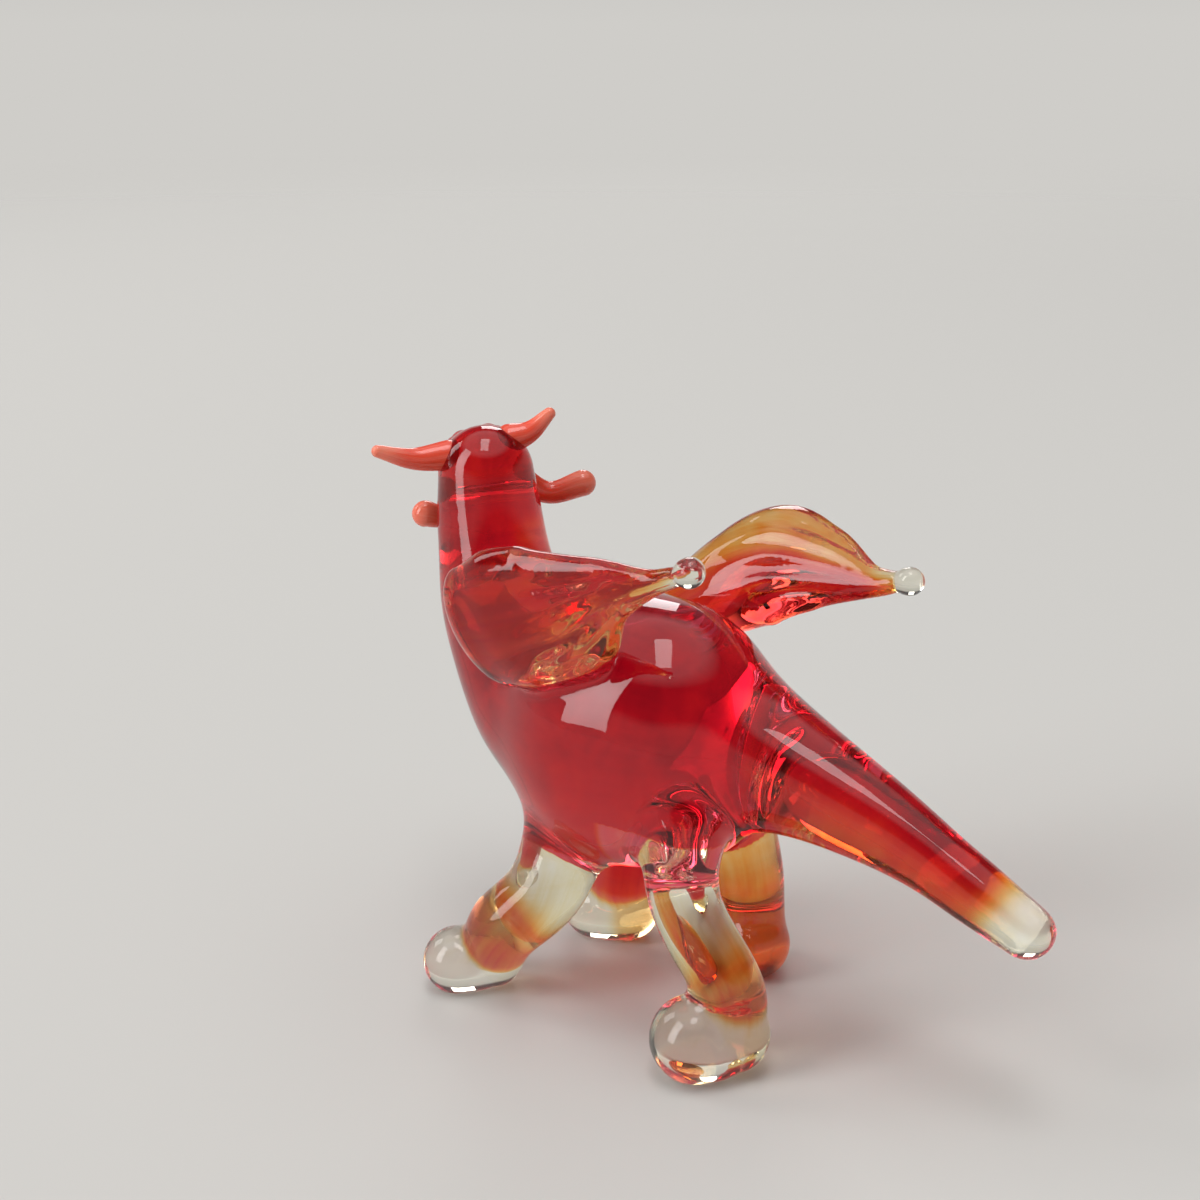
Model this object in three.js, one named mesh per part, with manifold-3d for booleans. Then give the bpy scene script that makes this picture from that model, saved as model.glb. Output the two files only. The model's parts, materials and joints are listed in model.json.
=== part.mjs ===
// Glass dragon figurine, worked at the lamp from rods of striking red glass.
// It stands on four pressed feet on Z = 0, faces -Y, and its left side is at +X.
// Every gather, horn and bead is a body of its own with a narrow gap at each joint.
import * as THREE from "three";
import { mergeVertices } from "three/addons/utils/BufferGeometryUtils.js";
import Module from "manifold-3d";

const wasm = await Module();
wasm.setup();

// Sizes in millimetres, turns in degrees.
const JOINT_GAP = 0.3;

const BELLY_HEIGHT = 12.8;
const TORSO_LENGTH = 31;
const TORSO_WIDTH = 23;
const TORSO_HEIGHT = 26;

const NECK_RISE = 16.5;
const NECK_REACH = 7.2;
const NECK_LEAN = 1.1;
const NECK_ROOT_RADIUS = 7.4;
const NECK_TOP_RADIUS = 5.1;

const SKULL_RADIUS = 4.6;
const MUZZLE_LENGTH = 8;
const MUZZLE_RADIUS = 2.7;
const MUZZLE_DROP = 1.6;
const HEAD_TURN = 33;
const HEAD_TILT = 13;
const EYE_RADIUS = 1;

const HORN_LENGTH = 6.4;
const HORN_ROOT_RADIUS = 1.5;
const HORN_TIP_RADIUS = 0.6;
const WHISKER_LENGTH = 6;
const WHISKER_RADIUS = 1.1;
const WHISKER_BALL_RADIUS = 1.3;

const TAIL_LENGTH = 30;
const TAIL_DROP = 9.4;
const TAIL_ARCH = 1.5;
const TAIL_TURN = 8;
const TAIL_ROOT_RADIUS = 7.9;
const TAIL_TIP_RADIUS = 2.4;

const WING_LENGTH = 23;
const WING_WIDTH = 15;
const WING_THICKNESS = 6.6;
const WING_BEAD_RADIUS = 1.3;

const SHOULDER_RADIUS = 4.4;
const LEFT_HAUNCH_RADIUS = 3.7;
const RIGHT_HAUNCH_RADIUS = 5;
const LEG_RADIUS = 3.6;
const FRONT_FOOT_RADIUS = 3.2;
const HIND_FOOT_RADIUS = 3.9;
const FOOT_LENGTH = 3.4;
const SOLE_PRESS = 0.4;

// Facets: round a section, along a line and over a rounded end.
const FACETS = { large: [20, 10, 4], small: [12, 6, 3] };

const UP = new THREE.Vector3(0, 0, 1);
const LEFT = new THREE.Vector3(1, 0, 0);
const BACK = new THREE.Vector3(0, 1, 0);

function glass(name, color, roughness) {
  return new THREE.MeshStandardMaterial({ name, color, roughness, metalness: 0 });
}

const colours = {
  ruby: glass("ruby_glass", "#b3152a", 0.04),
  flame: glass("flame_glass", "#d0452a", 0.04),
  amber: glass("amber_glass", "#d89a4e", 0.04),
  clear: glass("clear_glass", "#e6e2dc", 0.03),
  coral: glass("coral_glass", "#e8604c", 0.12),
  black: glass("black_glass", "#141112", 0.06),
};

// A gather of hot glass drawn along a line. Each size is a half width, and a half depth where that differs;
// across is the direction of the width. Both ends are rounded. The form is made again with any swelling.
function gather(line, sizes, across, facets = FACETS.large) {
  const [roundSteps, lineSteps, endSteps] = facets;
  const path = new THREE.CatmullRomCurve3(line, false, "centripetal");
  const halves = sizes.map((size) => {
    const [wide, deep = wide] = [size].flat();
    return new THREE.Vector3(wide, deep, 0);
  });
  const section = new THREE.CatmullRomCurve3(halves);
  return (swelling = 0) => {
    const rows = lineSteps + 2 * endSteps;
    const form = new THREE.SphereGeometry(1, roundSteps, rows);
    for (let row = 0; row <= rows; row++) {
      const t = 1 - THREE.MathUtils.clamp((row - endSteps) / lineSteps, 0, 1);
      const along = path.getTangent(t);
      const side = across.clone().addScaledVector(along, -across.dot(along)).normalize();
      const front = new THREE.Vector3().crossVectors(side, along);
      const half = section.getPoint(t).addScalar(swelling);
      const overEnd = Math.max(endSteps - row, row - rows + endSteps, 0) / endSteps;
      const lean = (overEnd * Math.PI) / 2;
      const centre = path.getPoint(t);
      centre.addScaledVector(along, Math.sign(t - 0.5) * Math.min(half.x, half.y) * Math.sin(lean));
      for (let step = 0; step <= roundSteps; step++) {
        const turn = (step / roundSteps) * 2 * Math.PI;
        const spot = centre.clone();
        spot.addScaledVector(side, -Math.cos(turn) * half.x * Math.cos(lean));
        spot.addScaledVector(front, Math.sin(turn) * half.y * Math.cos(lean));
        form.attributes.position.setXYZ(row * (roundSteps + 1) + step, spot.x, spot.y, spot.z);
      }
    }
    return form;
  };
}

function bead(centre, radius) {
  const [roundSteps, , endSteps] = FACETS.small;
  return (swelling = 0) => {
    const form = new THREE.SphereGeometry(radius + swelling, roundSteps, 2 * endSteps + 2);
    return form.translate(centre.x, centre.y, centre.z);
  };
}

function solid(form) {
  const bare = form.clone();
  bare.deleteAttribute("normal");
  bare.deleteAttribute("uv");
  const sealed = mergeVertices(bare, 1e-4);
  const vertProperties = Float32Array.from(sealed.attributes.position.array);
  const triVerts = Uint32Array.from(sealed.index.array);
  return new wasm.Manifold(new wasm.Mesh({ numProp: 3, vertProperties, triVerts }));
}

// A form with its neighbours taken out of it, each swollen by the joint gap.
function fitted(form, neighbours) {
  let shape = solid(form());
  for (const neighbour of neighbours) {
    shape = shape.subtract(solid(neighbour(JOINT_GAP)));
  }
  const cut = shape.getMesh();
  const fittedForm = new THREE.BufferGeometry();
  fittedForm.setAttribute("position", new THREE.Float32BufferAttribute(cut.vertProperties, 3));
  fittedForm.setIndex([...cut.triVerts]);
  return fittedForm;
}

const dragon = new THREE.Group();
dragon.name = "glass_dragon";

function add(name, form, colour, neighbours = []) {
  const mesh = new THREE.Mesh(fitted(form, neighbours), colours[colour]);
  mesh.name = name;
  dragon.add(mesh);
}

// The plate under the feet, as a block that presses the soles flat.
function floor() {
  const block = new THREE.BoxGeometry(4 * TORSO_LENGTH, 4 * TORSO_LENGTH, TORSO_HEIGHT);
  return block.translate(0, 0, -TORSO_HEIGHT / 2);
}

// Torso: an egg from breast to rump. Places on it are given as parts of its half sizes.
const torsoMiddle = BELLY_HEIGHT + TORSO_HEIGHT / 2;

function onTorso(left, back, up) {
  const spot = new THREE.Vector3(left * TORSO_WIDTH, back * TORSO_LENGTH, up * TORSO_HEIGHT).divideScalar(2);
  return spot.addScaledVector(UP, torsoMiddle);
}

function torsoSize(part) {
  return [(part * TORSO_WIDTH) / 2, (part * TORSO_HEIGHT) / 2];
}

const torso = gather(
  [onTorso(0.12, -0.72, 0.1), onTorso(0.08, -0.36, 0.06), onTorso(0.04, 0, 0.04), onTorso(0, 0.26, 0.06)],
  [torsoSize(0.6), torsoSize(0.88), torsoSize(1), torsoSize(0.96)],
  LEFT,
);

// Neck: a column from the breast up to the skull.
const neckRoot = onTorso(0.11, -0.82, 0.34);
const skull = neckRoot.clone().add(new THREE.Vector3(-NECK_LEAN, -NECK_REACH, NECK_RISE));
const neckBend = neckRoot.clone().lerp(skull, 0.3);
neckBend.y -= NECK_REACH * 0.29;
const neckTop = neckRoot.clone().lerp(skull, 0.66);
neckTop.y -= NECK_REACH * 0.18;
const neckMiddleRadius = (NECK_ROOT_RADIUS + NECK_TOP_RADIUS) / 2;
const neck = gather(
  [neckRoot, neckBend, neckTop, skull],
  [NECK_ROOT_RADIUS, neckMiddleRadius, NECK_TOP_RADIUS * 1.04, NECK_TOP_RADIUS * 0.9],
  LEFT,
);

// Head: a skull and muzzle turned to the right of the body and tilted to its left.
const headTurn = new THREE.Quaternion().setFromAxisAngle(UP, THREE.MathUtils.degToRad(-HEAD_TURN));
headTurn.multiply(new THREE.Quaternion().setFromAxisAngle(BACK, THREE.MathUtils.degToRad(HEAD_TILT)));

function onHead(left, back, up) {
  return new THREE.Vector3(left, back, up).applyQuaternion(headTurn).add(skull);
}

const headAcross = LEFT.clone().applyQuaternion(headTurn);

function onMuzzle(part) {
  return onHead(0, -part * MUZZLE_LENGTH, -part * part * MUZZLE_DROP);
}

const head = gather(
  [onMuzzle(0), onMuzzle(0.45), onMuzzle(0.75), onMuzzle(1)],
  [
    SKULL_RADIUS,
    [SKULL_RADIUS * 0.86, SKULL_RADIUS * 0.8],
    [MUZZLE_RADIUS, MUZZLE_RADIUS * 0.92],
    MUZZLE_RADIUS,
  ],
  headAcross,
);

// Tail: a long drop drawn out behind the rump.
const tailRoot = onTorso(-0.2, 0.6, 0.04);
const tailTurn = new THREE.Quaternion().setFromAxisAngle(UP, THREE.MathUtils.degToRad(TAIL_TURN));

function onTail(part, arch) {
  const spot = new THREE.Vector3(0, part * TAIL_LENGTH, arch * TAIL_ARCH - part * TAIL_DROP);
  return spot.applyQuaternion(tailTurn).add(tailRoot);
}

function tailRadius(part) {
  return THREE.MathUtils.lerp(TAIL_ROOT_RADIUS, TAIL_TIP_RADIUS, part);
}

const tail = gather(
  [onTail(0, 0.2), onTail(0.3, 0.9), onTail(0.65, 1), onTail(1, 0)],
  [tailRadius(0), tailRadius(0.46), tailRadius(0.78), tailRadius(1)],
  LEFT,
);

add("torso", torso, "ruby");
add("neck", neck, "ruby", [torso, head]);
add("head", head, "ruby");
add("tail", tail, "ruby", [torso]);

// Horns, whiskers and eyes, each touched down freehand, so that the two sides differ a little.
const trims = {
  left: { sign: 1, horn: 1.08, whisker: 0.62 },
  right: { sign: -1, horn: 0.7, whisker: 1.06 },
};
for (const [side, { sign, horn: hornReach, whisker: whiskerReach }] of Object.entries(trims)) {
  const hornRoot = onHead(sign * SKULL_RADIUS * 0.66, 0, SKULL_RADIUS * 0.56);
  const hornWay = new THREE.Vector3(sign * 0.93, 0.12, 0.34).applyQuaternion(headTurn);
  const hornTip = hornRoot.clone().addScaledVector(hornWay, hornReach * HORN_LENGTH);
  const hornBend = hornRoot.clone().lerp(hornTip, 0.5).addScaledVector(UP, -HORN_LENGTH * 0.08);
  const horn = gather(
    [hornRoot, hornBend, hornTip],
    [HORN_ROOT_RADIUS, (HORN_ROOT_RADIUS + HORN_TIP_RADIUS) / 2, HORN_TIP_RADIUS],
    BACK,
    FACETS.small,
  );
  add(`${side}_horn`, horn, "coral", [head, neck]);

  const whiskerRoot = onHead(sign * SKULL_RADIUS * 0.6, -SKULL_RADIUS * 0.6, -SKULL_RADIUS * 0.3);
  const whiskerWay = new THREE.Vector3(sign, 0.1, -0.42).applyQuaternion(headTurn);
  const whiskerTip = whiskerRoot.clone().addScaledVector(whiskerWay, whiskerReach * WHISKER_LENGTH);
  const whiskerBend = whiskerRoot.clone().lerp(whiskerTip, 0.5).addScaledVector(UP, -WHISKER_LENGTH * 0.24);
  const whisker = gather(
    [whiskerRoot, whiskerBend, whiskerTip],
    [WHISKER_RADIUS * 1.25, WHISKER_RADIUS, WHISKER_BALL_RADIUS],
    UP,
    FACETS.small,
  );
  add(`${side}_whisker`, whisker, "coral", [head, neck]);

  const eyeWay = new THREE.Vector3(sign * 0.74, 0, 0.41).applyQuaternion(headTurn);
  const eyeSpot = onMuzzle(0.42).addScaledVector(eyeWay, SKULL_RADIUS);
  const eye = bead(eyeSpot, EYE_RADIUS);
  add(`${side}_eye`, eye, "black", [head]);
}

// Wings: leaves held up from the shoulders and drawn out behind to a thread that ends in a clear bead.
// Each is placed by a spot on the back, the way to its bead and the way its chord rises. Its widths and the
// places of its middle line, up along the chord, are parts of the full width.
const WING_PARTS = [0, 0.17, 0.36, 0.6, 0.84, 1];
const WING_DEPTHS = [0.9, 1, 0.86, 0.52, 0.3, 0.23];
const wings = {
  left: {
    spot: [0.92, -0.3, 0.5],
    reach: [-0.13, 0.9, 0.36],
    chord: [0.4, -0.1, 0.9],
    widths: [0.84, 0.98, 0.92, 0.46, 0.15, 0.1],
    middles: [0, -0.02, -0.02, 0.03, 0, 0],
  },
  right: {
    spot: [-0.72, -0.13, 0.36],
    reach: [-0.2, 0.97, 0.25],
    chord: [-0.5, -0.17, 0.85],
    widths: [0.52, 0.68, 0.79, 0.55, 0.2, 0.1],
    middles: [0, 0.11, 0.2, 0.14, 0.02, 0],
  },
};
for (const [side, leaf] of Object.entries(wings)) {
  const reach = new THREE.Vector3(...leaf.reach).normalize();
  const chord = new THREE.Vector3(...leaf.chord).normalize();
  const spot = onTorso(...leaf.spot).addScaledVector(chord, WING_WIDTH * 0.36);
  const onWing = (part, middle = 0) => {
    const spine = spot.clone().addScaledVector(reach, part * WING_LENGTH);
    return spine.addScaledVector(chord, middle * WING_WIDTH);
  };
  const wing = gather(
    WING_PARTS.map((part, k) => onWing(part, leaf.middles[k])),
    leaf.widths.map((wide, k) => [(wide * WING_WIDTH) / 2, (WING_DEPTHS[k] * WING_THICKNESS) / 2]),
    chord,
  );
  const wingBead = bead(onWing(1), WING_BEAD_RADIUS);
  add(`${side}_wing`, wing, "flame", [torso, neck, wingBead]);
  add(`${side}_wing_bead`, wingBead, "clear");
}

// Legs: rods let down from the belly, each ending in a foot pressed flat underneath.
// Hips are places on the torso. Knees and ankles are parts of its half width, of its half length and of the
// height of the belly, and feet of the first two. The toe is the way that the foot points, and the rod is how
// thick this leg is beside the others.
const legs = {
  front_left: {
    hip: [0.36, -0.22, -0.6],
    knee: [0.64, -0.25, 0.88],
    ankle: [0.86, -0.45, 0.54],
    foot: [0.92, -0.68],
    toe: [0.9, -0.5],
    hipRadius: SHOULDER_RADIUS,
    rod: 1.03,
  },
  front_right: {
    hip: [-0.4, -0.32, -0.6],
    knee: [-0.5, -0.42, 0.85],
    ankle: [-0.6, -0.53, 0.45],
    foot: [-0.56, -0.6],
    toe: [0.5, -0.9],
    hipRadius: SHOULDER_RADIUS,
    rod: 1,
  },
  hind_left: {
    hip: [0.38, 0.7, -0.4],
    knee: [0.52, 0.78, 1.2],
    ankle: [0.49, 1.14, 0.6],
    foot: [0.57, 1.06],
    toe: [0.9, -0.45],
    hipRadius: LEFT_HAUNCH_RADIUS,
    rod: 0.9,
  },
  hind_right: {
    hip: [-0.66, 0.3, -0.45],
    knee: [-0.8, 0.38, 1],
    ankle: [-0.92, 0.36, 0.5],
    foot: [-0.93, 0.33],
    toe: [-0.5, -0.85],
    hipRadius: RIGHT_HAUNCH_RADIUS,
    rod: 0.95,
  },
};

function overFloor(left, back, height) {
  return new THREE.Vector3((left * TORSO_WIDTH) / 2, (back * TORSO_LENGTH) / 2, height);
}

function underBelly([left, back, up]) {
  return overFloor(left, back, up * BELLY_HEIGHT);
}

for (const [place, limb] of Object.entries(legs)) {
  const footRadius = place.startsWith("front") ? FRONT_FOOT_RADIUS : HIND_FOOT_RADIUS;
  const instep = overFloor(...limb.foot, footRadius - SOLE_PRESS);
  const stride = new THREE.Vector3(...limb.toe, 0).setLength(FOOT_LENGTH / 2);
  const toe = instep.clone().add(stride);
  const heel = instep.clone().sub(stride);
  const foot = gather([heel, instep, toe], [footRadius * 0.9, footRadius, footRadius], UP);
  const rodRadius = limb.rod * LEG_RADIUS;
  const leg = gather(
    [onTorso(...limb.hip), underBelly(limb.knee), underBelly(limb.ankle), heel],
    [limb.hipRadius, rodRadius, rodRadius * 0.94, LEG_RADIUS * 0.82],
    LEFT,
  );
  add(`${place}_leg`, leg, "amber", [torso, tail, foot]);
  add(`${place}_foot`, foot, "clear", [floor]);
}

// The origin is under the middle of the whole figure.
const bounds = new THREE.Box3().setFromObject(dragon);
const middle = bounds.getCenter(new THREE.Vector3());
dragon.position.set(-middle.x, -middle.y, -bounds.min.z);

export default dragon;
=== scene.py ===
import json
import math

import bmesh
import bpy
import numpy as np
from mathutils import Matrix, Quaternion, Vector

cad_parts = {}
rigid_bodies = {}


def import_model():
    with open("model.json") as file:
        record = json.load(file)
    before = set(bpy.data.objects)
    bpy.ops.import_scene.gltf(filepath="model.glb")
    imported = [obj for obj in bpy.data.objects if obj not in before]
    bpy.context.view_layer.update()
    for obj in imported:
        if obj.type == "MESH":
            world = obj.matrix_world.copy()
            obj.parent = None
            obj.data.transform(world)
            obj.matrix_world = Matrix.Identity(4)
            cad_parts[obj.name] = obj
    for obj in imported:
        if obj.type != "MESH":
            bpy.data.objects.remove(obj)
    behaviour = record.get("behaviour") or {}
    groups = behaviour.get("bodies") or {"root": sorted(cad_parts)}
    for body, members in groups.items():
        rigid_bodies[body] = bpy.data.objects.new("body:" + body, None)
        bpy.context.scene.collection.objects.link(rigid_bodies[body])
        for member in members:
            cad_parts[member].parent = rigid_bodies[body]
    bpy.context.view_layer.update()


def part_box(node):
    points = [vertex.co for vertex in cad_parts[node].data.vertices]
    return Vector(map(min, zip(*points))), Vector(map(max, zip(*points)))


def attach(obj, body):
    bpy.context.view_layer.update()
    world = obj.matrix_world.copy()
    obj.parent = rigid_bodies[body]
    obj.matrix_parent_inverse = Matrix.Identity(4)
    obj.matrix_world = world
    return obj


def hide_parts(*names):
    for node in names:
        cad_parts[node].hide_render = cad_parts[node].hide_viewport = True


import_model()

# Glass dragon, worked at the lamp. Shapes are drawn in millimetres about the figure's own middle,
# with the nose to -Y and the left side to +X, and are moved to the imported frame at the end.
MM = 0.001
UP = Vector((0, 0, 1))
LEFT = Vector((1, 0, 0))
BACK = Vector((0, 1, 0))


def blend(low, high, value):
    """0 at low, 1 at high and a soft step between. Where low is the greater of the two, it falls from 1 to 0
    as the value rises."""
    part = np.clip((value - low) / (high - low), 0, 1)
    return part * part * (3 - 2 * part)


# Drawn lines and gathers


def along(points, part):
    """The place at a part of the smooth line through some points."""
    spots = [2 * points[0] - points[1], *points, 2 * points[-1] - points[-2]]
    step = min(int(part * (len(points) - 1)), len(points) - 2)
    rest = part * (len(points) - 1) - step
    a, b, c, d = spots[step:step + 4]
    first, middle, last = (max((q - p).length, 1e-8) ** 0.5 for p, q in ((a, b), (b, c), (c, d)))
    leave = ((b - a) / first - (c - a) / (first + middle) + (c - b) / middle) * middle
    arrive = ((c - b) / middle - (d - b) / (middle + last) + (d - c) / last) * middle
    bend = 3 * (c - b) - 2 * leave - arrive
    return b + rest * leave + rest ** 2 * bend + rest ** 3 * (2 * (b - c) + leave + arrive)


class Gather:
    """Hot glass drawn along a line, with a half width and a half depth at each point of it.
    across is the direction of the width. Both ends are rounded. END is the share of the rows in each end, and
    RIDGES how many drawn ridges lie across a leaf."""

    END = 0.2
    RIDGES = 5
    READ_STEPS, READ_BATCH = 96, 20000

    def __init__(self, line, sizes, across, ridge=0):
        pairs = [size if isinstance(size, (tuple, list)) else (size, size) for size in sizes]
        self.line = line
        self.halves = [Vector((wide, deep, 0)) for wide, deep in pairs]
        self.across = across
        self.ridge = ridge

    def place(self, part):
        """The middle, the way on, the side, the front and the half sizes at a part of the line."""
        way = along(self.line, min(part + 1e-4, 1)) - along(self.line, max(part - 1e-4, 0))
        way.normalize()
        side = (self.across - way * self.across.dot(way)).normalized()
        return along(self.line, part), way, side, side.cross(way), along(self.halves, part)

    def mesh(self, round_steps=64, rows=80):
        bm = bmesh.new()
        bmesh.ops.create_uvsphere(bm, u_segments=round_steps, v_segments=rows, radius=1)
        known = {}
        for v in bm.verts:
            row = math.acos(max(-1, min(1, -v.co.z))) / math.pi
            turn = math.atan2(v.co.y, v.co.x)
            part = min(max((row - self.END) / (1 - 2 * self.END), 0), 1)
            over = max(self.END - row, row - 1 + self.END, 0) / self.END
            lean = over * math.pi / 2
            key = round(part, 5)
            if key not in known:
                known[key] = self.place(key)
            middle, way, side, front, half = known[key]
            deep = half.y
            if self.ridge:
                drawn = blend(0.12, 0.5, part) * (1 - blend(0.8, 0.97, part))
                groove = 0.5 - 0.5 * math.cos(math.pi * self.RIDGES * v.co.x)
                deep -= self.ridge * drawn * half.x * groove
            end = math.copysign(min(half.x, half.y) * math.sin(lean), part - 0.5)
            flat = math.cos(lean)
            v.co = middle + way * end + side * (math.cos(turn) * half.x * flat)
            v.co += front * (math.sin(turn) * deep * flat)
        bmesh.ops.recalc_face_normals(bm, faces=bm.faces)
        if bm.calc_volume(signed=True) < 0:
            bmesh.ops.reverse_faces(bm, faces=bm.faces)
        return bm

    def read(self, spots):
        """For each spot: its part of the line, its turn round it, its length along it in mm, the way out from
        the line and how far out it is."""
        count, batch = self.READ_STEPS, self.READ_BATCH
        places = [self.place(k / (count - 1)) for k in range(count)]
        middles, ways, sides, fronts = (np.array([p[k] for p in places]) for k in range(4))
        lengths = np.concatenate([[0], np.cumsum(np.linalg.norm(np.diff(middles, axis=0), axis=1))])
        nearest = np.empty(len(spots), int)
        for start in range(0, len(spots), batch):
            gaps = spots[start:start + batch, None, :] - middles[None]
            nearest[start:start + batch] = (gaps ** 2).sum(2).argmin(1)
        off = spots - middles[nearest]
        length = lengths[nearest] + (off * ways[nearest]).sum(1)
        part = np.interp(length, lengths, np.linspace(0, 1, count))
        round_way = np.arctan2((off * fronts[nearest]).sum(1), (off * sides[nearest]).sum(1))
        out = off / np.maximum(np.linalg.norm(off, axis=1, keepdims=True), 1e-9)
        return part, round_way, length, out, np.linalg.norm(off, axis=1)


# Torso, neck, head and tail
TORSO = Vector((23, 31, 26))
BELLY = 12.8
NECK_RISE, NECK_REACH, NECK_LEAN = 16.5, 7.2, 1.1
NECK_ROOT, NECK_TOP = 7.4, 5.1
SKULL, MUZZLE, MUZZLE_LENGTH, MUZZLE_DROP = 4.6, 2.7, 8, 1.6
HEAD_TURN, HEAD_TILT = math.radians(33), math.radians(13)
TAIL_LENGTH, TAIL_DROP, TAIL_ARCH, TAIL_TURN = 30, 9.4, 1.5, math.radians(8)
TAIL_ROOT, TAIL_TIP = 7.9, 2.4


def on_torso(left, back, up):
    return Vector((left * TORSO.x / 2, back * TORSO.y / 2, BELLY + (1 + up) * TORSO.z / 2))


def torso_size(part):
    return part * TORSO.x / 2, part * TORSO.z / 2


forms = {}
forms["torso"] = Gather(
    [
        on_torso(0.12, -0.72, 0.1),
        on_torso(0.08, -0.36, 0.06),
        on_torso(0.04, 0, 0.04),
        on_torso(0, 0.26, 0.06),
    ],
    [torso_size(part) for part in (0.6, 0.88, 1, 0.96)],
    LEFT,
)

neck_root = on_torso(0.11, -0.82, 0.34)
skull = neck_root + Vector((-NECK_LEAN, -NECK_REACH, NECK_RISE))
forms["neck"] = Gather(
    [
        neck_root,
        neck_root.lerp(skull, 0.3) - BACK * NECK_REACH * 0.29,
        neck_root.lerp(skull, 0.66) - BACK * NECK_REACH * 0.18,
        skull,
    ],
    [NECK_ROOT, (NECK_ROOT + NECK_TOP) / 2, NECK_TOP * 1.04, SKULL],
    LEFT,
)

head_turn = Quaternion(UP, -HEAD_TURN) @ Quaternion(BACK, HEAD_TILT)


def on_head(left, back, up):
    return skull + head_turn @ Vector((left, back, up))


def on_muzzle(part):
    return on_head(0, -part * MUZZLE_LENGTH, -part * part * MUZZLE_DROP)


forms["head"] = Gather(
    [on_muzzle(part) for part in (0, 0.45, 0.75, 1)],
    [SKULL, (SKULL * 0.86, SKULL * 0.8), (MUZZLE, MUZZLE * 0.92), MUZZLE],
    head_turn @ LEFT,
)

tail_root = on_torso(-0.2, 0.6, 0.04)
tail_turn = Quaternion(UP, TAIL_TURN)


def on_tail(part, arch):
    return tail_root + tail_turn @ Vector((0, part * TAIL_LENGTH, arch * TAIL_ARCH - part * TAIL_DROP))


forms["tail"] = Gather(
    [on_tail(0, 0.2), on_tail(0.3, 0.9), on_tail(0.65, 1), on_tail(1, 0)],
    [TAIL_ROOT + part * (TAIL_TIP - TAIL_ROOT) for part in (0, 0.46, 0.78, 1)],
    LEFT,
)

# Wings and the beads at their tips
WING_LENGTH, WING_WIDTH, WING_THICKNESS, WING_BEAD = 23, 15, 6.6, 1.3
WING_LIFT = 0.36
BEAD_STRETCH = 0.05
RIDGE = 0.08
wing_parts = (0, 0.17, 0.36, 0.6, 0.84, 1)
wing_depths = (0.9, 1, 0.86, 0.52, 0.3, 0.23)
wings = {
    "left": dict(
        spot=(0.92, -0.3, 0.5),
        reach=(-0.13, 0.9, 0.36),
        chord=(0.4, -0.1, 0.9),
        widths=(0.84, 0.98, 0.92, 0.46, 0.15, 0.1),
        middles=(0, -0.02, -0.02, 0.03, 0, 0),
    ),
    "right": dict(
        spot=(-0.72, -0.13, 0.36),
        reach=(-0.2, 0.97, 0.25),
        chord=(-0.5, -0.17, 0.85),
        widths=(0.52, 0.68, 0.79, 0.55, 0.2, 0.1),
        middles=(0, 0.11, 0.2, 0.14, 0.02, 0),
    ),
}
wing_tips = {}
for side, leaf in wings.items():
    reach = Vector(leaf["reach"]).normalized()
    chord = Vector(leaf["chord"]).normalized()
    base = on_torso(*leaf["spot"]) + chord * WING_WIDTH * WING_LIFT
    forms[f"{side}_wing"] = Gather(
        [
            base + reach * part * WING_LENGTH + chord * middle * WING_WIDTH
            for part, middle in zip(wing_parts, leaf["middles"])
        ],
        [
            (wide * WING_WIDTH / 2, deep * WING_THICKNESS / 2)
            for wide, deep in zip(leaf["widths"], wing_depths)
        ],
        chord,
        RIDGE,
    )
    tip = base + reach * WING_LENGTH
    wing_tips[side] = tip, reach
    stretch = reach * BEAD_STRETCH
    forms[f"{side}_wing_bead"] = Gather([tip - stretch, tip + stretch], [WING_BEAD] * 2, UP)

# Legs and feet. The red of the body comes down to a part of the leg, and pale is how many half widths of the
# leg the pale glass reaches into the body.
FOOT_LENGTH, SOLE_PRESS, HEEL = 3.4, 0.4, 0.9
FRONT_FOOT, HIND_FOOT = 3.2, 3.9
legs = {
    "front_left": dict(
        hip=(0.36, -0.22, -0.6), knee=(0.64, -0.25, 0.88), ankle=(0.86, -0.45, 0.54),
        foot=(0.92, -0.68), toe=(0.9, -0.5), sizes=(4.4, 3.7, 3.5, 3), red_to=0.16, pale=1.3,
    ),
    "front_right": dict(
        hip=(-0.4, -0.32, -0.6), knee=(-0.5, -0.42, 0.85), ankle=(-0.6, -0.53, 0.45),
        foot=(-0.56, -0.6), toe=(0.5, -0.9), sizes=(4.4, 3.6, 3.4, 3), red_to=0.3, pale=1.3,
    ),
    "hind_left": dict(
        hip=(0.45, 0.75, -0.36), knee=(0.52, 0.78, 1.2), ankle=(0.49, 1.14, 0.6),
        foot=(0.57, 1.06), toe=(0.9, -0.45), sizes=(3.7, 3.25, 3.05, 3), red_to=0.05, pale=2,
    ),
    "hind_right": dict(
        hip=(-0.6, 0.3, -0.45), knee=(-0.8, 0.38, 1), ankle=(-0.92, 0.36, 0.5),
        foot=(-0.93, 0.33), toe=(-0.5, -0.85), sizes=(4.3, 3.4, 3.2, 3), red_to=0.22, pale=1.3,
    ),
}


def under_belly(left, back, height):
    return Vector((left * TORSO.x / 2, back * TORSO.y / 2, height))


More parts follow.
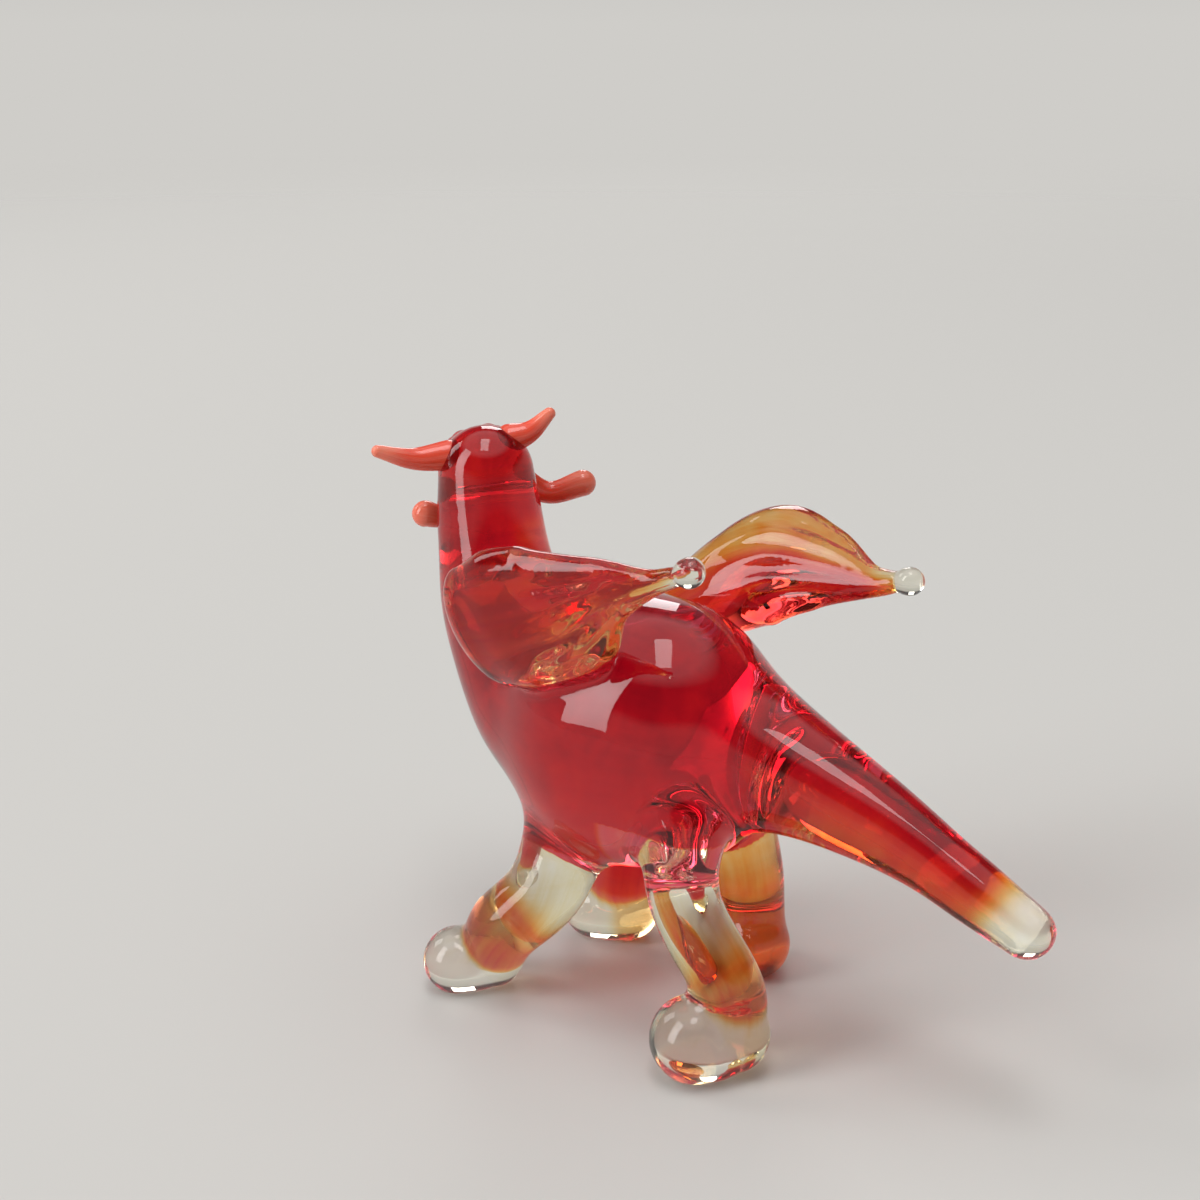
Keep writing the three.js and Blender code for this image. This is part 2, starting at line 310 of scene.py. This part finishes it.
for place, limb in legs.items():
    thick = FRONT_FOOT if place.startswith("front") else HIND_FOOT
    instep = under_belly(*limb["foot"], thick - SOLE_PRESS)
    stride = Vector((*limb["toe"], 0)).normalized() * FOOT_LENGTH / 2
    forms[f"{place}_foot"] = Gather(
        [instep - stride, instep, instep + stride], [thick * HEEL, thick, thick], UP
    )
    bends = [under_belly(left, back, height * BELLY) for left, back, height in (limb["knee"], limb["ankle"])]
    forms[f"{place}_leg"] = Gather([on_torso(*limb["hip"]), *bends, instep - stride], limb["sizes"], LEFT)

# Glass that ran into the broad joints while they were soft: breast to neck and chin to neck.
runs = [
    Gather([neck_root, on_torso(0.1, -0.58, 0.1), on_torso(0.06, -0.2, 0)], [7.3, 8.5, 10.4], LEFT),
    Gather([on_head(0, -5.6, -2), on_head(0, -3.4, -4.9), forms["neck"].place(0.42)[0]], [2.6, 3.9, 5], LEFT),
]

# Touches of the graphite tool on the face: nostrils, a mouth and brows, each with its spots, reach and depth.
# The photograph shows the head from behind, so the face is a plain design of our own.
nose = on_muzzle(1)


def on_nose(left, back, up):
    return nose + head_turn @ (Vector((left, back, up)).normalized() * MUZZLE)


mouth = [on_nose(math.sin(turn), -math.cos(turn), -0.3) for turn in np.linspace(-1.5, 1.5, 41)]
face_marks = [(mouth, 0.55, 0.3)]
for sign in (1, -1):
    face_marks.append(([on_nose(sign * 0.42, -0.75, 0.5)], 0.65, 0.4))
    brow = [
        on_head(sign * SKULL * wide, -SKULL * 0.55, SKULL * high)
        for wide, high in ((0.36, 0.86), (0.55, 0.78), (0.72, 0.62))
    ]
    face_marks.append((brow, 1.5, -0.45))

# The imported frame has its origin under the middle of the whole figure.
bead_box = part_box("left_wing_bead")
bead_middle = (bead_box[0] + bead_box[1]) / 2
to_frame = Matrix.Translation(bead_middle - wing_tips["left"][0] * MM) @ Matrix.Scale(MM, 4)


# One fused skin of glass


def new_piece(name, mesh):
    piece = bpy.data.objects.new(name, mesh)
    bpy.context.scene.collection.objects.link(piece)
    return piece


def join(parts):
    """One mesh with all the given shapes in it."""
    whole = bmesh.new()
    for part in parts:
        step = bpy.data.meshes.new("step")
        part.to_mesh(step)
        whole.from_mesh(step)
        part.free()
        bpy.data.meshes.remove(step)
    mesh = bpy.data.meshes.new("glass")
    whole.to_mesh(mesh)
    whole.free()
    return mesh


def values_of(items, key, kind, width=1):
    """One value of each item, or a row of them, as an array."""
    found = np.empty(len(items) * width, kind)
    items.foreach_get(key, found)
    return found.reshape(-1, width) if width > 1 else found


def corners_of(mesh):
    return values_of(mesh.vertices, "co", float, 3)


def normals_of(mesh):
    return values_of(mesh.vertex_normals, "vector", np.float32, 3)


def melted(mesh, grain):
    """The outer skin of shapes that overlap."""
    block = new_piece("melt", mesh)
    remesh = block.modifiers.new("melt", "REMESH")
    remesh.mode = "VOXEL"
    remesh.voxel_size = grain
    skin = bpy.data.meshes.new_from_object(block.evaluated_get(bpy.context.evaluated_depsgraph_get()))
    bpy.data.objects.remove(block)
    bpy.data.meshes.remove(mesh)
    return skin


# How far soft glass moves in one round: along the skin and outward where a crease fills, and toward or away
# from its neighbours where the skin settles or evens out. LOW is the height over which it softens.
LOW = 6
SLIDE, RISE = 0.3, 0.6
SETTLE, EVEN_IN, EVEN_OUT = 0.5, 0.5, 0.52


def flow(mesh, fill_rounds=0, settle_rounds=0, even_rounds=0, above=-LOW, spared=()):
    """Lets the creases above a height fill and settle, as soft glass does, but not near the spared spots, and
    then evens the skin without shrinking it."""
    spots = corners_of(mesh)
    ends = values_of(mesh.edges, "vertices", int, 2)
    count = np.bincount(ends.ravel(), minlength=len(spots))[:, None]
    first, second = np.concatenate([ends[:, 0], ends[:, 1]]), np.concatenate([ends[:, 1], ends[:, 0]])

    def pull():
        total = [np.bincount(first, spots[second, k], len(spots)) for k in range(3)]
        return np.stack(total, 1) / count - spots

    def softness():
        soft = blend(above, above + LOW, spots[:, 2:])
        for spot, near, far in spared:
            soft = soft * blend(near, far, np.linalg.norm(spots - np.array(spot), axis=1, keepdims=True))
        return soft

    for _ in range(fill_rounds):
        mesh.vertices.foreach_set("co", spots.ravel())
        mesh.update()
        normal = normals_of(mesh)
        move = pull()
        rise = (move * normal).sum(1)[:, None]
        spots += softness() * (SLIDE * (move - rise * normal) + RISE * np.maximum(rise, 0) * normal)
    for _ in range(settle_rounds):
        spots += softness() * SETTLE * pull()
    for _ in range(even_rounds):
        spots += EVEN_IN * pull()
        spots -= EVEN_OUT * pull()
    mesh.vertices.foreach_set("co", spots.ravel())
    mesh.update()


def mark(mesh, marks):
    """Presses dents into the soft skin, or draws it out where a depth is negative, near some spots."""
    spots = corners_of(mesh)
    out = normals_of(mesh)
    for centres, reach, depth in marks:
        gaps = np.min([np.linalg.norm(spots - np.array(centre), axis=1) for centre in centres], 0)
        spots -= depth * ((1 - np.minimum(gaps / reach, 1) ** 2) ** 2)[:, None] * out
    mesh.vertices.foreach_set("co", spots.ravel())
    mesh.update()


def part_at(bm, spot, way):
    """Parts the glass at the ring nearest to a spot where the plane across a way meets it."""
    way = way.normalized()
    beyond = {v: (v.co - spot).dot(way) > 0 for v in bm.verts}
    crossed = {f for f in bm.faces if len({beyond[v] for v in f.verts}) == 2}
    start = min(crossed, key=lambda f: (f.calc_center_median() - spot).length)
    ring, reached = {start}, [start]
    while reached:
        for edge in reached.pop().edges:
            for face in edge.link_faces:
                if face in crossed and face not in ring:
                    ring.add(face)
                    reached.append(face)
    edges = {e for f in ring for e in f.edges}
    corners = {v for f in ring for v in f.verts}
    cut = bmesh.ops.bisect_plane(
        bm, geom=[*ring, *edges, *corners], dist=1e-5, plane_co=spot, plane_no=way
    )
    line = [e for e in cut["geom_cut"] if isinstance(e, bmesh.types.BMEdge)]
    bmesh.ops.split_edges(bm, edges=line)


# The body is run together first, with broad fillets, and the wings are fused to it after that. A spared spot
# has the distance within which nothing moves, and the distance from which all does.
BODY_GRAIN, GRAIN = 0.3, 0.22
leaves = [form for name, form in forms.items() if "wing" in name]
rods = [form for form in forms.values() if form not in leaves]
body = melted(join([form.mesh() for form in [*rods, *runs]]), BODY_GRAIN)
haunch = forms["hind_left_leg"].place(0)[0], 4.2, 7
face = on_muzzle(0.5), 7, 11
shoulder = forms["front_left_leg"].place(0.1)[0], 6, 9
flow(body, fill_rounds=60)
flow(body, fill_rounds=140, above=11, spared=[haunch, shoulder])
flow(body, fill_rounds=200, above=19, spared=[haunch])
flow(body, settle_rounds=160, even_rounds=20, above=17, spared=[haunch, face])
soft = bmesh.new()
soft.from_mesh(body)
skin = melted(join([soft, *[form.mesh() for form in leaves]]), GRAIN)
thin = [(forms[f"{side}_wing"].place(part)[0], 9, 12) for side in wings for part in (0.3, 0.7, 1)]
thin.append((on_tail(1, 0), 5, 10))
flow(skin, fill_rounds=24)
flow(skin, settle_rounds=120, even_rounds=60, above=9, spared=[face, *thin])
mark(skin, face_marks)
bpy.data.meshes.remove(body)

glass = bmesh.new()
glass.from_mesh(skin)
bpy.data.meshes.remove(skin)
for v in glass.verts:
    v.co.z = max(v.co.z, 0)
glass.normal_update()
smooth_way = glass.verts.layers.float_vector.new("smooth_way")
for v in glass.verts:
    v[smooth_way] = v.normal

# Where the rods and gathers were joined: the part of a line, or a spot on the torso and the way off it.
BEAD_NECK, ANKLE_JOINT = 1.2, 0.84
for tip, reach in wing_tips.values():
    part_at(glass, tip - reach * BEAD_NECK, reach)
for place, part, tilt in (
    ("front_left", 0.2, (0, 0, 0)),
    ("front_right", 0.3, (0, 0, 0)),
    ("hind_left", 0.2, (0.45, 0.3, 0)),
    ("hind_right", 0.24, (0, 0, 0)),
):
    spot, way, *_ = forms[f"{place}_leg"].place(ANKLE_JOINT)
    part_at(glass, spot, way)
    spot, way, *_ = forms[f"{place}_leg"].place(part)
    part_at(glass, spot, way + Vector(tilt))
part_at(glass, on_torso(0.98, -0.3, 0.54), Vector((0.8, -0.05, 0.6)))
part_at(glass, on_torso(-0.88, -0.1, 0.55), Vector((-0.8, 0, 0.6)))
for name, part, tip in (("neck", 0.2, 0), ("neck", 0.8, 0), ("tail", 0.24, 0.6)):
    spot, way, *_ = forms[name].place(part)
    part_at(glass, spot, way + UP * tip)

whole = bpy.data.meshes.new("glass")
glass.to_mesh(whole)
glass.free()


# Materials


def linear(code):
    """An sRGB hex colour as linear light."""
    parts = [int(code[k:k + 2], 16) / 255 for k in (1, 3, 5)]
    return (*[p / 12.92 if p <= 0.04045 else ((p + 0.055) / 1.055) ** 2.4 for p in parts], 1)


def add_node(material, kind, sockets=None, **settings):
    """A node with its settings; a socket gets a value, or a link where an output is given."""
    made = material.node_tree.nodes.new(kind)
    for name, value in settings.items():
        setattr(made, name, value)
    for name, value in (sockets or {}).items():
        if isinstance(value, bpy.types.NodeSocket):
            material.node_tree.links.new(value, made.inputs[name])
        else:
            made.inputs[name].default_value = value
    return made


def set_ramp(ramp, stops):
    """Gives a colour ramp its stops, each a position and a hex colour."""
    while len(ramp.elements) < len(stops):
        ramp.elements.new(0.5)
    for stop, (position, code) in zip(ramp.elements, stops):
        stop.position = position
        stop.color = linear(code)


def swing_of(material, noise, low, high, most):
    """A noise as a swing either side of nothing."""
    return add_node(
        material,
        "ShaderNodeMapRange",
        {"Value": noise.outputs["Fac"], "From Min": low, "From Max": high, "To Min": -most, "To Max": most},
    )


def new_material(name):
    material = bpy.data.materials.new(name)
    material.use_nodes = True
    material.node_tree.nodes.clear()
    return material


# Striking glass is one melt: clear where it stayed cool, and straw, amber, flame and ruby the longer it was
# held in the flame. The strike attribute is how far that went. On the near wing it is also partly painted
# brightness, standing in for flashes of light refracted in the thick glass. Fine cords of stronger and weaker
# colour run along the drawn rods. Widths are in millimetres.
STRIKE = (
    (0.0, "#f9f7f1"),
    (0.15, "#efeabf"),
    (0.34, "#efb440"),
    (0.54, "#ee5c16"),
    (0.72, "#de1e1a"),
    (0.88, "#cc0a1e"),
    (1.0, "#9a0618"),
)
CORD_WIDTH = 1.1
CORD_STRETCH = 0.07
SWIRL = 6


def striking_glass(name, cords, swirls, ripple):
    """cords and swirls are how far the strike swings, and ripple is how deep the cords show in the skin."""
    material = new_material(name)
    strike = add_node(material, "ShaderNodeAttribute", attribute_name="strike")
    draw = add_node(material, "ShaderNodeAttribute", attribute_name="draw")
    stretched = add_node(
        material, "ShaderNodeMapping", {"Vector": draw.outputs["Vector"], "Scale": (1, 1, CORD_STRETCH)}
    )
    cord = add_node(
        material,
        "ShaderNodeTexNoise",
        {"Vector": stretched.outputs[0], "Scale": 1 / CORD_WIDTH, "Detail": 3.0, "Roughness": 0.55},
    )
    place = add_node(material, "ShaderNodeTexCoord")
    swirl = add_node(
        material,
        "ShaderNodeTexNoise",
        {"Vector": place.outputs["Object"], "Scale": 1 / (SWIRL * MM), "Detail": 2.0, "Distortion": 1.4},
    )
    drift = swing_of(material, swirl, 0.3, 0.7, swirls)
    swing = swing_of(material, cord, 0.25, 0.75, cords)
    uneven = add_node(
        material, "ShaderNodeMath", {0: drift.outputs[0], 1: swing.outputs[0]}, operation="ADD"
    )
    level = add_node(
        material,
        "ShaderNodeMath",
        {0: strike.outputs["Fac"], 1: uneven.outputs[0]},
        operation="ADD",
        use_clamp=True,
    )
    tint = add_node(material, "ShaderNodeValToRGB", {"Fac": level.outputs[0]})
    tint.color_ramp.interpolation = "B_SPLINE"
    set_ramp(tint.color_ramp, STRIKE)
    skin_ripple = add_node(
        material, "ShaderNodeBump", {"Height": cord.outputs["Fac"], "Strength": 1.0, "Distance": ripple * MM}
    )
    surface = add_node(
        material,
        "ShaderNodeBsdfPrincipled",
        {
            "Base Color": tint.outputs["Color"],
            "Roughness": 0.015,
            "IOR": 1.48,
            "Specular IOR Level": 0.36,
            "Transmission Weight": 1.0,
            "Normal": skin_ripple.outputs[0],
        },
    )
    add_node(material, "ShaderNodeOutputMaterial", {"Surface": surface.outputs[0]})
    return material


ruby_glass = striking_glass("ruby_striking_glass", 0.05, 0.07, 0.006)
flame_glass = striking_glass("flame_striking_glass", 0.12, 0.06, 0.008)
amber_glass = striking_glass("amber_striking_glass", 0.1, 0.04, 0.01)
clear_glass = striking_glass("clear_unstruck_glass", 0.02, 0.01, 0.005)

# Fused glass has no surface where two gathers meet, so the two faces there let everything through.
fused_joint = new_material("fused_glass_joint")
through = add_node(fused_joint, "ShaderNodeBsdfTransparent", {"Color": (1, 1, 1, 1)})
add_node(fused_joint, "ShaderNodeOutputMaterial", {"Surface": through.outputs[0]})


# Opal glass: a dense pigmented rod, glossy from the flame, paler where it is thin at the tip.
OPAL_STRETCH, OPAL_CORDS, OPAL_SWING = 0.15, 2.2, 0.16


def opal_rod(name, dense, thin):
    material = new_material(name)
    strike = add_node(material, "ShaderNodeAttribute", attribute_name="strike")
    draw = add_node(material, "ShaderNodeAttribute", attribute_name="draw")
    stretched = add_node(
        material, "ShaderNodeMapping", {"Vector": draw.outputs["Vector"], "Scale": (1, 1, OPAL_STRETCH)}
    )
    cord = add_node(
        material, "ShaderNodeTexNoise", {"Vector": stretched.outputs[0], "Scale": OPAL_CORDS, "Detail": 3.0}
    )
    swing = swing_of(material, cord, 0.25, 0.75, OPAL_SWING)
    level = add_node(
        material,
        "ShaderNodeMath",
        {0: strike.outputs["Fac"], 1: swing.outputs[0]},
        operation="ADD",
        use_clamp=True,
    )
    colour = add_node(
        material,
        "ShaderNodeMix",
        {"Factor": level.outputs[0], "A": linear(thin), "B": linear(dense)},
        data_type="RGBA",
    )
    surface = add_node(
        material,
        "ShaderNodeBsdfPrincipled",
        {
            "Base Color": colour.outputs["Result"],
            "Roughness": 0.1,
            "IOR": 1.5,
            "Subsurface Weight": 0.35,
            "Subsurface Radius": (1.0, 0.35, 0.25),
            "Subsurface Scale": 0.8 * MM,
        },
    )
    add_node(material, "ShaderNodeOutputMaterial", {"Surface": surface.outputs[0]})
    return material


coral_glass = opal_rod("coral_opal_glass", "#e4523c", "#f4957a")
black_glass = opal_rod("black_opal_glass", "#0c0a0b", "#241a1c")


# Pieces


def keep(name, piece):
    piece.name = f"{name}_glass"
    piece.data.name = piece.name
    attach(piece, "root")
    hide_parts(name)


RED_HIP = 0.84
DRAW_ROUND = 5
BALL_FAR, BALL_NEAR = 1.35, 1.02
PALE_FADE = 0.3


def colour_in(mesh, form, strike):
    """Writes how far each spot was struck, and its place round and along the drawn line. The red of the body
    ends in a sharp line across each leg, and a leg takes on the colour of its foot where they meet."""
    spots = corners_of(mesh)
    part, turn, length, off, _ = form.read(spots)
    level = strike(part, turn, off)
    draw = np.stack([DRAW_ROUND * np.cos(turn), DRAW_ROUND * np.sin(turn), length], 1)
    for place, limb in legs.items():
        rod = forms[f"{place}_leg"]
        if form is rod or form is forms["torso"]:
            spot, way, _, _, half = rod.place(limb["red_to"])
            below = (spots - np.array(spot)) @ np.array(way) > 0
            if form is rod:
                ball = forms[f"{place}_foot"]
                part, turn, _, off, gap = ball.read(spots)
                near = blend(BALL_FAR, BALL_NEAR, gap / ball.halves[1].x)
                level = level + near * (strikes[f"{place}_foot"](part, turn, off) - level)
                level = np.where(below, level, RED_HIP)
            else:
                part, turn, _, off, gap = rod.read(spots)
                pale = below * blend(limb["pale"] + PALE_FADE, limb["pale"], gap / half.x)
                level = level + pale * (strikes[f"{place}_leg"](part, turn, off) - level)
    mesh.attributes.new("strike", "FLOAT", "POINT").data.foreach_set("value", level)
    mesh.attributes.new("draw", "FLOAT_VECTOR", "POINT").data.foreach_set("vector", draw.ravel())


def toward(off, way):
    return off @ np.array(Vector(way).normalized())


# How far each piece was struck, and on the near wing also painted brightness: part runs along its line, turn
# round it, and off is the way out from it.
strikes = {
    "torso": lambda part, turn, off: 0.92 - 0.08 * blend(0.1, 0.9, -off[:, 2]),
    "neck": lambda part, turn, off: (
        0.88 - 0.56 * blend(0.3, 0.95, toward(off, (-0.69, 0.72, 0))) * blend(0.8, 0.62, part)
    ),
    "head": lambda part, turn, off: 0.88 - 0.1 * blend(0.6, 1, part),
    "tail": lambda part, turn, off: (
        (0.88 - 0.4 * blend(-0.2, 0.6, toward(off, (0.55, 0, -0.8))) * blend(0.16, 0.42, part))
        * (1 - blend(0.82, 0.96, part))
        + 0.02
    ),
    # Near wing: paler and yellower overall, most toward its lower edge. This is partly the glass's own colour
    # and partly painted brightness, standing in for the bright flashes of light refracted in the thick wing.
    "left_wing": lambda part, turn, off: (
        0.74 - 0.36 * blend(0.6, -0.5, np.cos(turn)) * blend(0, 0.3, part) - 0.34 * blend(0.62, 0.97, part)
    ),
    "right_wing": lambda part, turn, off: (
        0.84 - 0.46 * blend(-0.3, 0.8, np.cos(turn)) - 0.36 * blend(0.7, 0.97, part)
    ),
    "left_wing_bead": lambda part, turn, off: 0.02 + 0 * part,
    "right_wing_bead": lambda part, turn, off: 0.02 + 0 * part,
    "front_left_leg": lambda part, turn, off: 0.1 + 0.56 * blend(0.4, 0.66, part) * blend(0.95, 0.76, part),
    "front_right_leg": lambda part, turn, off: 0.84 - 0.5 * blend(0.5, 0.9, part),
    "hind_left_leg": lambda part, turn, off: 0.1 + 0.58 * blend(0.42, 0.72, part) * blend(1, 0.84, part),
    "hind_right_leg": lambda part, turn, off: 0.36 + 0.34 * blend(0.4, 0.7, part),
    "front_left_foot": lambda part, turn, off: 0.2 * blend(0.1, -0.2, part) + 0.01,
    "front_right_foot": lambda part, turn, off: 0.34 - 0.28 * blend(0, 0.5, part),
    "hind_left_foot": lambda part, turn, off: 0.3 * blend(0.15, -0.2, part) + 0.01,
    "hind_right_foot": lambda part, turn, off: 0.66 - 0.3 * blend(0.3, 1, part),
}


# The glass of a piece goes by the last word of its name. All others are ruby.
GLASS = {
    "wing": ("flame_glass", flame_glass),
    "leg": ("amber_glass", amber_glass),
    "foot": ("clear_glass", clear_glass),
    "bead": ("clear_glass", clear_glass),
}


def finish_glass(piece):
    """Closes a shell at its joints, keeps the smooth skin of the whole figure and moves it to the frame."""
    mesh = piece.data
    middle = Vector(corners_of(mesh).mean(0))
    name = min(strikes, key=lambda node: (forms[node].place(0.6)[0] - middle).length)
    bm = bmesh.new()
    bm.from_mesh(mesh)
    rims = [e for e in bm.edges if e.is_boundary]
    for face in bmesh.ops.holes_fill(bm, edges=rims, sides=0)["faces"]:
        face.material_index = 1
    bmesh.ops.recalc_face_normals(bm, faces=bm.faces)
    bm.to_mesh(mesh)
    bm.free()
    colour_in(mesh, forms[name], strikes[name])
    is_cap = values_of(mesh.polygons, "material_index", int)
    mesh.polygons.foreach_set("use_smooth", is_cap == 0)
    sides = values_of(mesh.polygons, "loop_total", int)
    flat = values_of(mesh.polygon_normals, "vector", np.float32, 3)
    corner = values_of(mesh.loops, "vertex_index", int)
    smooth = values_of(mesh.attributes["smooth_way"].data, "vector", np.float32, 3)[corner]
    ways = np.where(np.repeat(is_cap, sides)[:, None] == 1, np.repeat(flat, sides, 0), smooth)
    ways /= np.linalg.norm(ways, axis=1, keepdims=True)
    mesh.attributes.remove(mesh.attributes["smooth_way"])
    mesh.transform(to_frame)
    mesh.normals_split_custom_set(ways.tolist())
    slot, worn = GLASS.get(name.split("_")[-1], ("ruby_glass", ruby_glass))
    mesh.materials.append(worn)
    mesh.materials.append(fused_joint)
    keep(name, piece)


before = set(bpy.data.objects)
figure = new_piece("glass", whole)
bpy.ops.object.select_all(action="DESELECT")
bpy.context.view_layer.objects.active = figure
figure.select_set(True)
bpy.ops.mesh.separate(type="LOOSE")
for piece in sorted(set(bpy.data.objects) - before, key=lambda o: o.name):
    finish_glass(piece)


ROD_STEPS, ROD_ROWS = 32, 48


def finish_rod(name, form, strike, material):
    """Makes a rod or a dot of opal glass, which was touched down on the finished head."""
    mesh = bpy.data.meshes.new(name)
    bm = form.mesh(ROD_STEPS, ROD_ROWS)
    bm.to_mesh(mesh)
    bm.free()
    colour_in(mesh, form, strike)
    mesh.transform(to_frame)
    mesh.polygons.foreach_set("use_smooth", [True] * len(mesh.polygons))
    mesh.materials.append(material)
    keep(name, new_piece("rod", mesh))


def horn_strike(part, turn, off):
    return 1 - 0.7 * blend(0.55, 1, part)


def whisker_strike(part, turn, off):
    return 1 - 0.5 * blend(0.6, 1, part)


def eye_strike(part, turn, off):
    return 1 - 0.5 * part


# Horns, whiskers and eyes, touched down freehand, so that the two sides differ a little.
HORN_LENGTH, HORN_ROOT, HORN_TIP = 6.4, 1.5, 0.6
WHISKER_LENGTH, WHISKER, WHISKER_BALL = 6, 1.1, 1.3
EYE = 1
for side, sign, horn_reach, whisker_reach in (("left", 1, 1.08, 0.62), ("right", -1, 0.7, 1.06)):
    root = on_head(sign * SKULL * 0.66, 0, SKULL * 0.56)
    tip = root + head_turn @ Vector((sign * 0.93, 0.12, 0.34)) * horn_reach * HORN_LENGTH
    middle = root.lerp(tip, 0.5) - UP * HORN_LENGTH * 0.08
    horn = Gather([root, middle, tip], [HORN_ROOT, (HORN_ROOT + HORN_TIP) / 2, HORN_TIP], BACK)
    finish_rod(f"{side}_horn", horn, horn_strike, coral_glass)
    root = on_head(sign * SKULL * 0.6, -SKULL * 0.6, -SKULL * 0.3)
    tip = root + head_turn @ Vector((sign, 0.1, -0.42)) * whisker_reach * WHISKER_LENGTH
    middle = root.lerp(tip, 0.5) - UP * WHISKER_LENGTH * 0.24
    whisker = Gather([root, middle, tip], [WHISKER * 1.25, WHISKER, WHISKER_BALL], UP)
    finish_rod(f"{side}_whisker", whisker, whisker_strike, coral_glass)
    out = head_turn @ Vector((sign * 0.74, 0, 0.41))
    spot = on_muzzle(0.42) + out * SKULL
    eye = Gather([spot - out * 0.25, spot + out * 0.05], [EYE, EYE], UP)
    finish_rod(f"{side}_eye", eye, eye_strike, black_glass)


# Studio: a pale floor that runs out into the background, soft lamps and the camera at the photograph's angle
FLOOR_EVEN, FLOOR_END, FLOOR_SEGMENTS = 0.4, 1.3, 96
floor_mesh = bmesh.new()
bmesh.ops.create_circle(floor_mesh, cap_ends=True, segments=FLOOR_SEGMENTS, radius=FLOOR_END)
mesh = bpy.data.meshes.new("floor")
floor_mesh.to_mesh(mesh)
floor_mesh.free()
floor = new_piece("floor", mesh)
floor_paper = new_material("pale_studio_floor")
paper = add_node(
    floor_paper,
    "ShaderNodeBsdfPrincipled",
    {"Base Color": linear("#cac8c4"), "Roughness": 0.95, "Specular IOR Level": 0.0},
)
ground = add_node(floor_paper, "ShaderNodeTexCoord")
away = add_node(floor_paper, "ShaderNodeVectorMath", {0: ground.outputs["Object"]}, operation="LENGTH")
fade = add_node(
    floor_paper,
    "ShaderNodeMapRange",
    {"Value": away.outputs["Value"], "From Min": FLOOR_EVEN, "From Max": FLOOR_END},
    interpolation_type="SMOOTHSTEP",
)
beyond = add_node(floor_paper, "ShaderNodeBsdfTransparent", {"Color": (1, 1, 1, 1)})
sweep = add_node(
    floor_paper, "ShaderNodeMixShader", {0: fade.outputs[0], 1: paper.outputs[0], 2: beyond.outputs[0]}
)
add_node(floor_paper, "ShaderNodeOutputMaterial", {"Surface": sweep.outputs[0]})
mesh.materials.append(floor_paper)

# The background is pale at the floor, dark at the height of the lamps and white overhead.
BANDS = (
    (0.0, "#cfcdc9"),
    (0.06, "#c4c3c0"),
    (0.25, "#bcbbb8"),
    (0.36, "#4c4c50"),
    (0.7, "#47474b"),
    (0.82, "#ffffff"),
)
world = bpy.data.worlds.new("studio")
bpy.context.scene.world = world
world.use_nodes = True
world.node_tree.nodes.clear()
where = add_node(world, "ShaderNodeTexCoord")
height = add_node(world, "ShaderNodeSeparateXYZ", {"Vector": where.outputs["Generated"]})
sky = add_node(world, "ShaderNodeValToRGB", {"Fac": height.outputs["Z"]})
set_ramp(sky.color_ramp, BANDS)
light = add_node(world, "ShaderNodeBackground", {"Color": sky.outputs[0], "Strength": 1.0})
add_node(world, "ShaderNodeOutputWorld", {"Surface": light.outputs[0]})


LAMP_AIM = Vector((0, 0, 0.03))


def soft_box(name, spot, size, power, spread=180):
    """A rectangular lamp at a spot in metres. The spread of its light is in degrees."""
    lamp = bpy.data.lights.new(name, "AREA")
    lamp.shape = "RECTANGLE"
    lamp.size, lamp.size_y = size
    lamp.energy = power
    lamp.spread = math.radians(spread)
    box = bpy.data.objects.new(name, lamp)
    box.location = spot
    box.rotation_euler = (LAMP_AIM - Vector(spot)).to_track_quat("-Z", "Y").to_euler()
    bpy.context.scene.collection.objects.link(box)


soft_box("window", (2.48, -0.78, 1.43), (1.12, 2.8), 18, 100)
soft_box("top", (0.16, 0.16, 1.3), (0.36, 0.74), 3.8)
soft_box("side", (0.42, -1.05, 0.76), (0.4, 0.6), 2.6)
soft_box("back", (-0.93, -0.93, 0.72), (0.4, 0.5), 3)

# The camera, in the figure's millimetres, as found from the feet, the neck, the tail and the wing beads.
CAMERA_SPOT = Vector((122.227, 122.227, 88.074))
CAMERA_PITCH, CAMERA_TURN = 73.893, 136.010
lens = bpy.data.cameras.new("camera")
lens.lens = 60
lens.sensor_width = 36
lens.clip_start = 0.005
camera = bpy.data.objects.new("camera", lens)
camera.location = to_frame @ CAMERA_SPOT
camera.rotation_euler = (math.radians(CAMERA_PITCH), 0, math.radians(CAMERA_TURN))
bpy.context.scene.collection.objects.link(camera)
bpy.context.scene.camera = camera
bpy.context.scene.view_settings.view_transform = "Standard"

# Light turns many times inside solid glass before it leaves.
BOUNCES = 40
paths = bpy.context.scene.cycles
paths.max_bounces = paths.transmission_bounces = BOUNCES
paths.glossy_bounces = paths.transparent_max_bounces = BOUNCES
